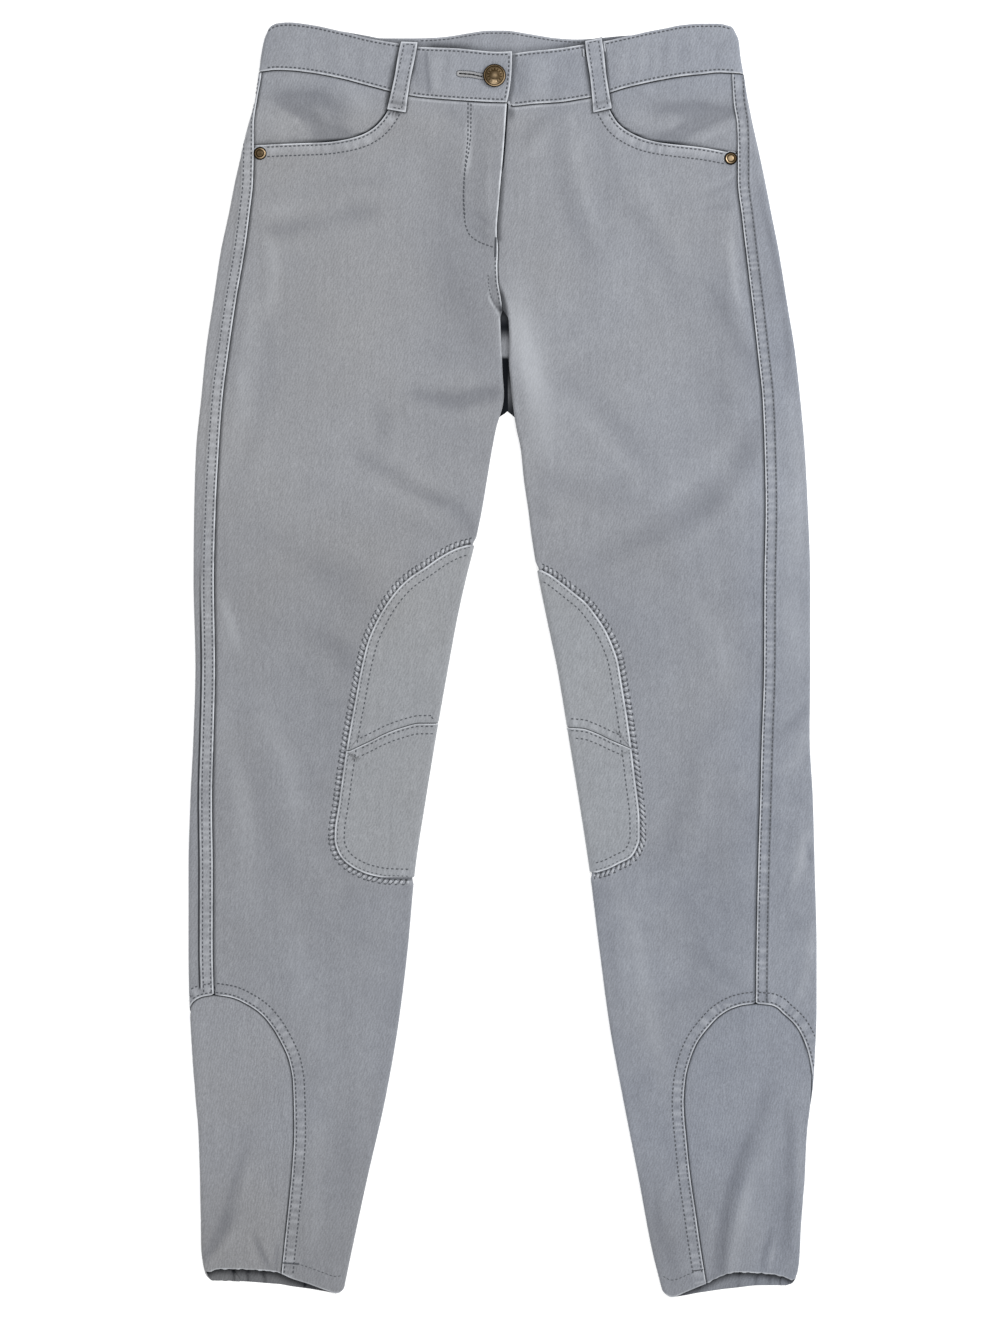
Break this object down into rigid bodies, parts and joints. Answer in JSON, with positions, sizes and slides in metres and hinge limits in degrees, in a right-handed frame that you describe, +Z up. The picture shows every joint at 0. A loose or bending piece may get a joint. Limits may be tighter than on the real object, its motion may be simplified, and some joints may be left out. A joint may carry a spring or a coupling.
{
  "type": "riding breeches",
  "caption": "Riding breeches of washed grey stretch twill, laid flat: buttoned waistband, belt loops, curved pocket mouths, knee patches and stretch ankle inserts.",
  "frame": {"origin": "centre of the bounding box's underside, on the surface that the back lies on", "axes": "+X to the wearer's left, +Y from the hems to the waist, +Z up out of the front"},
  "size_m": [0.5027, 1.0179, 0.01],
  "materials": {
    "twill": "garment-washed stretch cotton twill, matt",
    "patch_twill": "garment-washed cotton twill, slightly smoother",
    "stretch_knit": "soft stretch jersey, matt",
    "antique_brass": "darkened, worn bright at the rim"
  },
  "bodies": {
    "root": {"front_right": "twill", "front_left": "twill", "back_right": "twill", "back_left": "twill", "waistband": "twill", "waistband_facing": "twill", "pocket_facing_right": "twill", "pocket_facing_left": "twill", "belt_loop_right": "twill", "belt_loop_left": "twill", "patch_upper_right": "patch_twill", "patch_upper_left": "patch_twill", "patch_lower_right": "patch_twill", "patch_lower_left": "patch_twill", "ankle_insert_right": "stretch_knit", "ankle_insert_left": "stretch_knit", "button": "antique_brass", "rivet_right": "antique_brass", "rivet_left": "antique_brass"}
  },
  "joints": []
}
